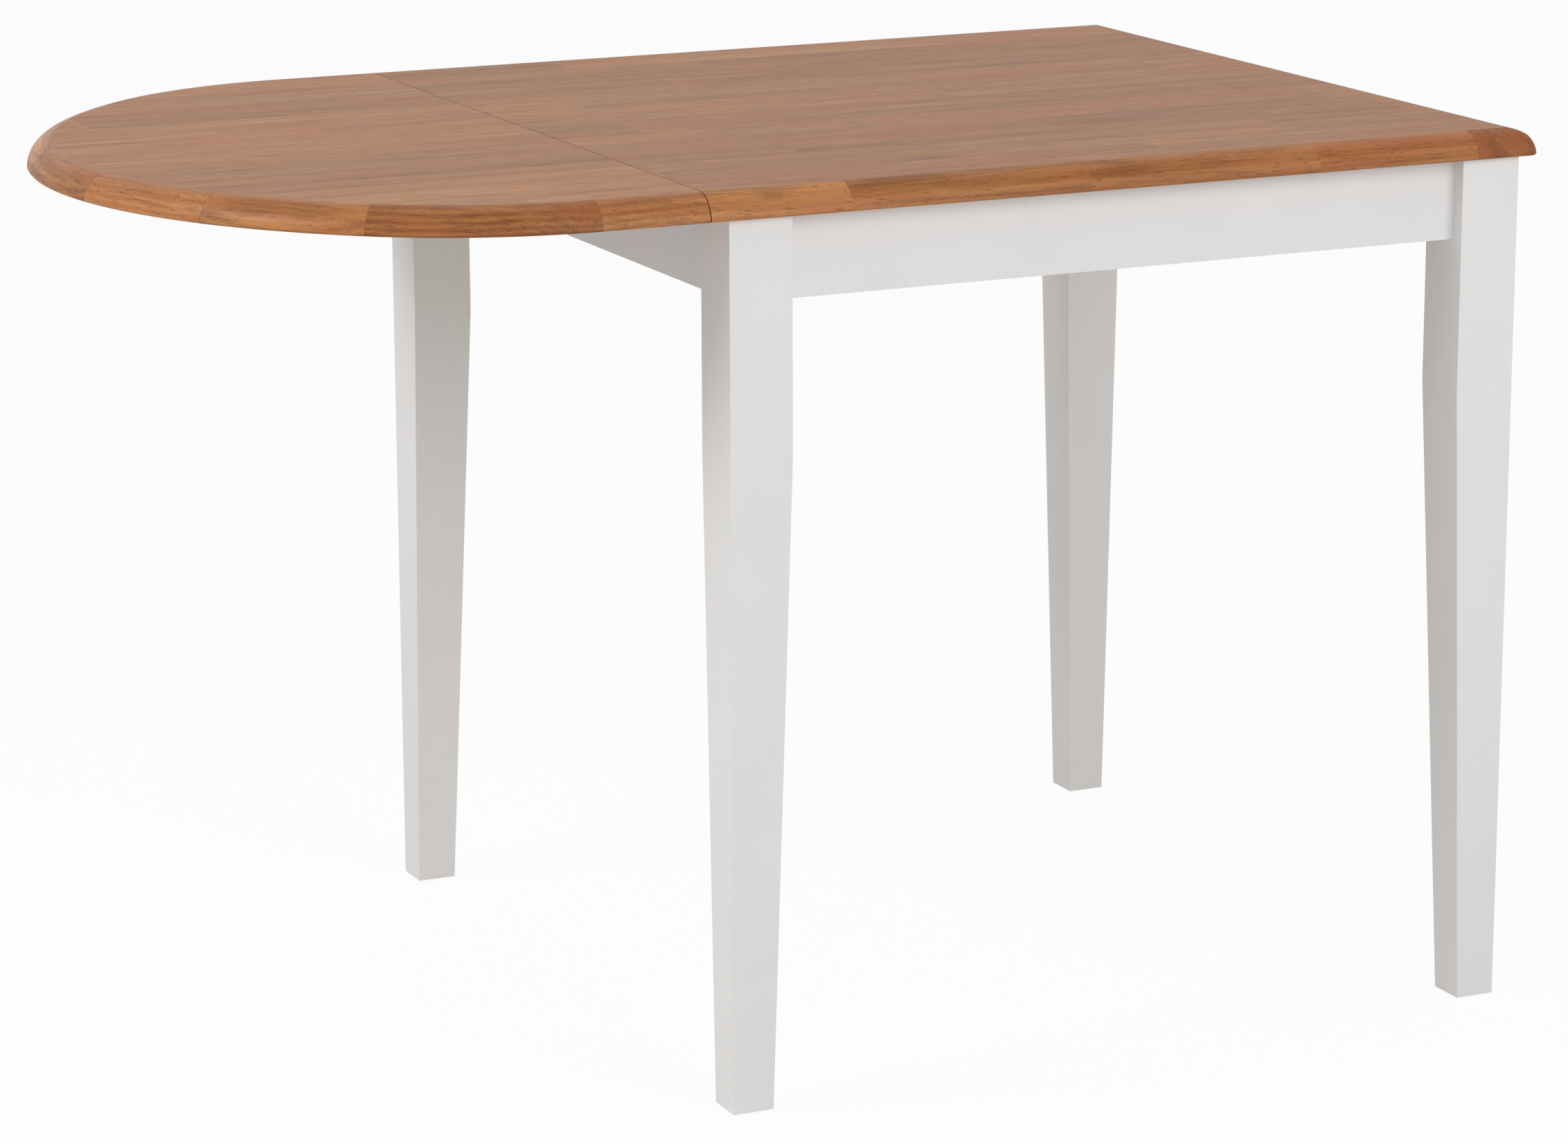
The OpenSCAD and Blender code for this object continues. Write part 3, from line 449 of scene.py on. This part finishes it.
def ease_edges(names, tree, radius):
    """Rounds the sharp edges of timber the way sanding before paint does."""
    for name in names:
        node = NODES[name]
        clean = node.modifiers.new("join", "NODES")
        clean.node_group = tree
        bevel = node.modifiers.new("eased edges", "BEVEL")
        bevel.width = radius
        bevel.segments = 3
        bevel.limit_method = "ANGLE"
        bevel.angle_limit = SHARP_ANGLE
        bevel.harden_normals = True


# ---------- Operators ----------

class TABLE_OT_tops(bpy.types.Operator):
    """Lays the stained veneer on the fixed top and the leaf"""
    bl_idname = "table.tops"
    bl_label = "Veneered tops"

    def execute(self, context):
        wood = context.scene.table_wood
        fixed = stave_material(wood, "matt_rubberwood_veneer_top", flitch=0.0)
        leaf = stave_material(wood, "matt_rubberwood_veneer_leaf", flitch=3.0)
        finish_nodes(["top_veneer"], fixed)
        finish_nodes(["leaf_veneer"], leaf)
        return {"FINISHED"}


class TABLE_OT_lipping(bpy.types.Operator):
    """Finishes the solid lipping around the tops"""
    bl_idname = "table.lipping"
    bl_label = "Solid lipping"

    def execute(self, context):
        wood = context.scene.table_wood
        along = lipping_material(wood, "satin_rubberwood_side_lipping", "X", pith=360 * MM, batch=2758)
        across = lipping_material(wood, "satin_rubberwood_end_lipping", "Y", pith=530 * MM, batch=963)
        finish_nodes(["top_lipping_front", "top_lipping_rear"], along)
        finish_nodes(["top_lipping_end", "top_seam_strip", "leaf_seam_strip"], across)
        around = leaf_lipping_material(wood, pith=400 * MM, batch=1275)
        finish_nodes(["leaf_lipping"], around)
        return {"FINISHED"}


class TABLE_OT_painted_frame(bpy.types.Operator):
    """Paints the legs and aprons white and eases their edges"""
    bl_idname = "table.painted_frame"
    bl_label = "Legs and aprons"

    def execute(self, context):
        paint = context.scene.table_paint
        legs = [n for n in NODES if n.startswith("leg_")]
        aprons = [n for n in NODES if n.startswith("apron_") and n != "apron_dowels"]
        finish_nodes(legs + aprons, paint_material(paint))
        tree = clean_shading()
        ease_edges(legs, tree, paint.leg_edge)
        ease_edges(aprons, tree, paint.apron_edge)
        return {"FINISHED"}


class TABLE_OT_hidden_timber(bpy.types.Operator):
    """Finishes the boards, blocks and dowels that are left bare"""
    bl_idname = "table.hidden_timber"
    bl_label = "Bare timber"

    def execute(self, context):
        timber = context.scene.table_timber
        # Pressed and sanded chips, left bare: matt, sandy and speckled.
        board = gritty_material("particle_board", timber.board_dark, timber.board_light, timber.chip,
                                rough=0.8, depth=0.2 * MM)
        # Planed and left bare: pale and even, with small flecks and a dry surface.
        beech = gritty_material("planed_beech", timber.beech_dark, timber.beech_light, timber.fleck,
                                rough=0.6, depth=0.1 * MM)
        finish_nodes(["top_core", "leaf_core"], board)
        blocks = [n for n in NODES if n.startswith("block_") and n != "block_screws"]
        finish_nodes(blocks + ["apron_dowels"], beech)
        return {"FINISHED"}


class TABLE_OT_hardware(bpy.types.Operator):
    """Finishes the hinges, props, angles, bolts and screws"""
    bl_idname = "table.hardware"
    bl_label = "Hardware"

    def execute(self, context):
        fittings = context.scene.table_fittings
        # Pressed, then plated in a barrel: light grey, with a soft, uneven shine.
        zinc = metal_material("zinc_plated_steel", fittings.zinc, low=0.32, high=0.48)
        # Rolled bright and oiled: a darker grey, with a closer shine.
        steel = metal_material("cold_rolled_steel", fittings.steel, low=0.28, high=0.40)
        slots = {s["node"]: s["material_slot"] for s in frame["record"]["subparts"]}
        for slot, material in (("zinc_plate", zinc), ("steel", steel)):
            finish_nodes([n for n in NODES if slots[n] == slot], material)
        return {"FINISHED"}


class TABLE_OT_feet(bpy.types.Operator):
    """Finishes the foot glides and the props' rubber shoes"""
    bl_idname = "table.feet"
    bl_label = "Glides and shoes"

    def execute(self, context):
        fittings = context.scene.table_fittings
        # Moulded smooth: a milky grey, with a faint bloom and a low shine.
        nylon = gritty_material("moulded_nylon", fittings.nylon_dark, fittings.nylon_light,
                                grit=0.8 * MM, rough=0.45, depth=0.05 * MM)
        # Moulded in an etched tool: black, matt and slightly rough.
        rubber = gritty_material("moulded_rubber", fittings.rubber_dark, fittings.rubber_light,
                                 grit=0.6 * MM, rough=0.7, depth=0.1 * MM)
        finish_nodes(["foot_glides"], nylon)
        finish_nodes(["prop_shoe_front", "prop_shoe_rear"], rubber)
        return {"FINISHED"}


# ---------- Stage ----------

# Half the floor's width in metres, and the share of the floor's look that is its own glow.
FLOOR_REACH = 12.0
FLOOR_GLOW = 0.94

# Width of the camera's sensor, in millimetres.
SENSOR_WIDTH = 36.0


def camera_view(stage):
    """The camera's place and turn, from its angles about the target."""
    azimuth, elevation, roll = stage.camera_azimuth, stage.camera_elevation, stage.camera_roll
    back = Vector((math.sin(azimuth) * math.cos(elevation), -math.cos(azimuth) * math.cos(elevation),
                   math.sin(elevation)))
    right = (-back).cross(Vector((0, 0, 1))).normalized()
    up = right.cross(-back)
    tilted_right = math.cos(roll) * right + math.sin(roll) * up
    tilted_up = math.cos(roll) * up - math.sin(roll) * right
    turn = Matrix((tilted_right, tilted_up, back)).transposed().to_4x4()
    return Matrix.Translation(Vector(stage.camera_target) + back * stage.camera_distance) @ turn


def area_lamp(name, place, target, size, power):
    """A soft lamp, with its two sides in metres and its power in watts, turned to its target."""
    lamp = bpy.data.lights.new(name, "AREA")
    lamp.shape = "RECTANGLE"
    lamp.size, lamp.size_y = size
    lamp.energy = power
    holder = bpy.data.objects.new(name, lamp)
    holder.location = place
    holder.rotation_euler = (Vector(target) - Vector(place)).to_track_quat("-Z", "Y").to_euler()
    bpy.context.scene.collection.objects.link(holder)


def studio_world(ambient):
    """White to the camera, to mirrors and to glass, and a plain level of light to everything else."""
    world = bpy.data.worlds.new("white_studio")
    world.use_nodes = True
    world.node_tree.nodes.clear()
    path = add(world, "LightPath").outputs
    seen = add(world, "Math", {0: path["Is Camera Ray"], 1: path["Is Glossy Ray"]}, operation="MAXIMUM")
    seen = add(world, "Math", {0: seen, 1: path["Is Transmission Ray"]}, operation="MAXIMUM")
    strength = add(world, "Mix", {"Factor": seen, "A": ambient, "B": 1.0}, data_type="FLOAT")
    light = add(world, "Background", {"Color": (1, 1, 1, 1), "Strength": strength})
    add(world, "OutputWorld", {"Surface": light})
    return world


def floor_material(tint):
    """Seamless white paper, matt and even: to the camera it glows almost white, and the share that is left
    takes the table's soft shadow."""
    material = new_material("white_paper_floor")
    path = add(material, "LightPath").outputs["Is Camera Ray"]
    glow_share = add(material, "Math", {0: path, 1: FLOOR_GLOW}, operation="MULTIPLY")
    diffuse = add(material, "BsdfDiffuse", {"Color": rgba(tint)})
    glow = add(material, "Emission", {"Color": (1, 1, 1, 1), "Strength": 1.0})
    mix = add(material, "MixShader", {0: glow_share, 1: diffuse, 2: glow})
    add(material, "OutputMaterial", {"Surface": mix})
    return material


class TABLE_OT_stage(bpy.types.Operator):
    """Sets the pale floor, the soft lamps, the white surroundings and the camera"""
    bl_idname = "table.stage"
    bl_label = "Studio"

    def execute(self, context):
        stage = context.scene.table_stage
        context.scene.world = studio_world(stage.ambient)

        floor_mesh = bpy.data.meshes.new("studio floor")
        signs = ((-1, -1), (1, -1), (1, 1), (-1, 1))
        corners = [(x * FLOOR_REACH, y * FLOOR_REACH, 0) for x, y in signs]
        floor_mesh.from_pydata(corners, [], [(0, 1, 2, 3)])
        floor = bpy.data.objects.new("studio_floor", floor_mesh)
        floor.location.z = CAD_BOX[0][2]
        context.scene.collection.objects.link(floor)
        floor_mesh.materials.append(floor_material(stage.floor))

        area_lamp("front softbox", place=(0.9, -3.6, 2.0), target=(0.1, 0, 0.5), size=(2.6, 2.0),
                  power=stage.key)
        area_lamp("leaf side softbox", place=(-4.3, 0.1, 3.2), target=(-0.2, 0, 0.4), size=(2.6, 1.4),
                  power=stage.side)

        camera = bpy.data.cameras.new("camera")
        camera.lens = stage.camera_lens
        camera.sensor_width = SENSOR_WIDTH
        holder = bpy.data.objects.new("camera", camera)
        holder.matrix_world = camera_view(stage)
        context.scene.collection.objects.link(holder)
        context.scene.camera = holder
        context.scene.view_settings.view_transform = "Standard"
        return {"FINISHED"}


class TABLE_PT_finishes(bpy.types.Panel):
    """Lists the table's finishing steps"""
    bl_idname = "TABLE_PT_finishes"
    bl_label = "Drop-leaf table"
    bl_space_type = "VIEW_3D"
    bl_region_type = "UI"
    bl_category = "Table"

    def draw(self, context):
        for operator in OPERATORS:
            self.layout.operator(operator.bl_idname)
        for group in GROUPS:
            settings = getattr(context.scene, group)
            box = self.layout.box()
            for name in settings.__annotations__:
                box.prop(settings, name)


GROUPS = {"table_wood": TableWood, "table_paint": TablePaint, "table_timber": TableBareTimber,
          "table_fittings": TableFittings, "table_stage": TableStage}
OPERATORS = (TABLE_OT_stage, TABLE_OT_tops, TABLE_OT_lipping, TABLE_OT_painted_frame,
             TABLE_OT_hidden_timber, TABLE_OT_hardware, TABLE_OT_feet)
CLASSES = (*GROUPS.values(), *OPERATORS, TABLE_PT_finishes)


def register():
    for cls in CLASSES:
        bpy.utils.register_class(cls)
    for name, group in GROUPS.items():
        setattr(bpy.types.Scene, name, PointerProperty(type=group))


def unregister():
    for name in GROUPS:
        delattr(bpy.types.Scene, name)
    for cls in reversed(CLASSES):
        bpy.utils.unregister_class(cls)


def main():
    register()
    for operator in OPERATORS:
        family, name = operator.bl_idname.split(".")
        getattr(getattr(bpy.ops, family), name)()


if __name__ == "__main__":
    main()
